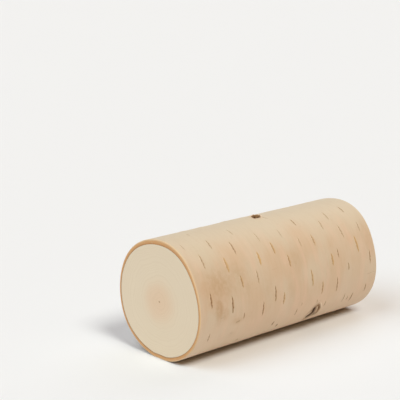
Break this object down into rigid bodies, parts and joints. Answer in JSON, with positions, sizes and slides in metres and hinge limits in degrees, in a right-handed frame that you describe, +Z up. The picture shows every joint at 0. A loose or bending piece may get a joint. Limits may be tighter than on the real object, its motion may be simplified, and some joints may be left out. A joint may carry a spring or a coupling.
{
  "type": "wood log",
  "caption": "Short round birch log with smooth pale bark, sawn square at both ends, lying on its side.",
  "frame": {"origin": "on the surface the log lies on, under the middle of the log", "axes": "+X along the log from the butt end to the tip end, +Z up away from the surface it lies on"},
  "size_m": [0.21, 0.0992, 0.1001],
  "materials": {
    "birch": "satin"
  },
  "bodies": {
    "root": {"log": "birch"}
  },
  "joints": []
}
